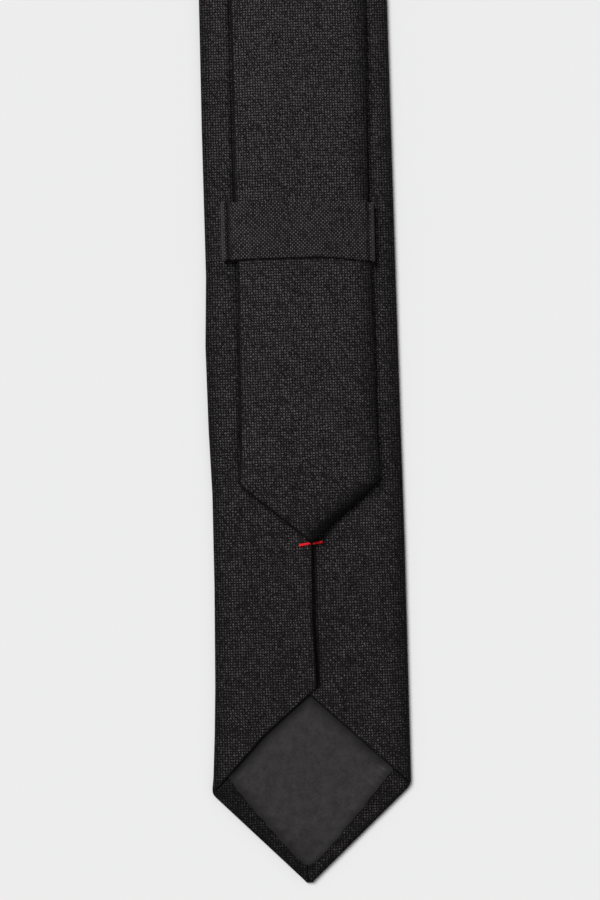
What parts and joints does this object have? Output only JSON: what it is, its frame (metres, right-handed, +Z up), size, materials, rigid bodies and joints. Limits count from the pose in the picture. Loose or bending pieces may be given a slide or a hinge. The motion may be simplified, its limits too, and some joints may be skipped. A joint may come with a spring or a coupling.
{
  "type": "necktie",
  "caption": "Slim men's necktie laid flat and folded in half at the neck, back up, with the tail run through the keeper loop on the back of the wide blade.",
  "frame": {"origin": "centre of the folded tie's footprint, on the surface that its front face lies on", "axes": "+Z up, out of the back of the wide blade; +Y along the tie, from the wide tip to the fold at the neck; +X across the tie, to the right when the wide tip points at the viewer"},
  "size_m": [0.06, 0.791, 0.0119],
  "materials": {
    "woven_cloth": "matte",
    "wool_canvas": "matte",
    "satin_lining": "satin",
    "red_thread": "satin",
    "black_thread": "satin"
  },
  "bodies": {
    "wide_blade": {"wide_shell": "woven_cloth", "wide_upper_shell": "woven_cloth", "wide_canvas": "wool_canvas", "wide_upper_canvas": "wool_canvas", "wide_lining": "satin_lining", "wide_bar_tack": "red_thread", "wide_slip_stitch": "black_thread", "wide_upper_slip_stitch": "black_thread", "keeper_loop": "woven_cloth", "keeper_tacks": "black_thread"},
    "neck": {"neck_shell": "woven_cloth", "neck_canvas": "wool_canvas", "neck_slip_stitch": "black_thread", "wide_seam_stitch": "black_thread", "tail_seam_stitch": "black_thread"},
    "tail": {"tail_upper_shell": "woven_cloth", "tail_upper_canvas": "wool_canvas", "tail_upper_slip_stitch": "black_thread", "tail_shell": "woven_cloth", "tail_canvas": "wool_canvas", "tail_slip_stitch": "black_thread"},
    "tail_end": {"tail_end_shell": "woven_cloth", "tail_end_canvas": "wool_canvas", "tail_end_lining": "satin_lining", "tail_bar_tack": "red_thread"}
  },
  "joints": [
    {"name": "neck_slide", "type": "slide", "parent": "wide_blade", "child": "neck", "axis": [0, -1, 0], "range_m": [-0.015, 0.02], "deforming": ["wide_upper_shell", "wide_upper_canvas", "wide_upper_slip_stitch"]},
    {"name": "tail_slide", "type": "slide", "parent": "neck", "child": "tail", "axis": [0, -1, 0], "range_m": [-0.015, 0.02], "deforming": ["tail_upper_shell", "tail_upper_canvas", "tail_upper_slip_stitch"]},
    {"name": "tail_lift", "type": "hinge", "parent": "tail", "child": "tail_end", "pos_m": [0.002, -0.2423, 0.0077], "axis": [-1, 0, 0], "range_deg": [0, 110]}
  ],
  "couplings": [
    {"joint": "tail_slide", "follows": "neck_slide", "ratio": 1}
  ]
}
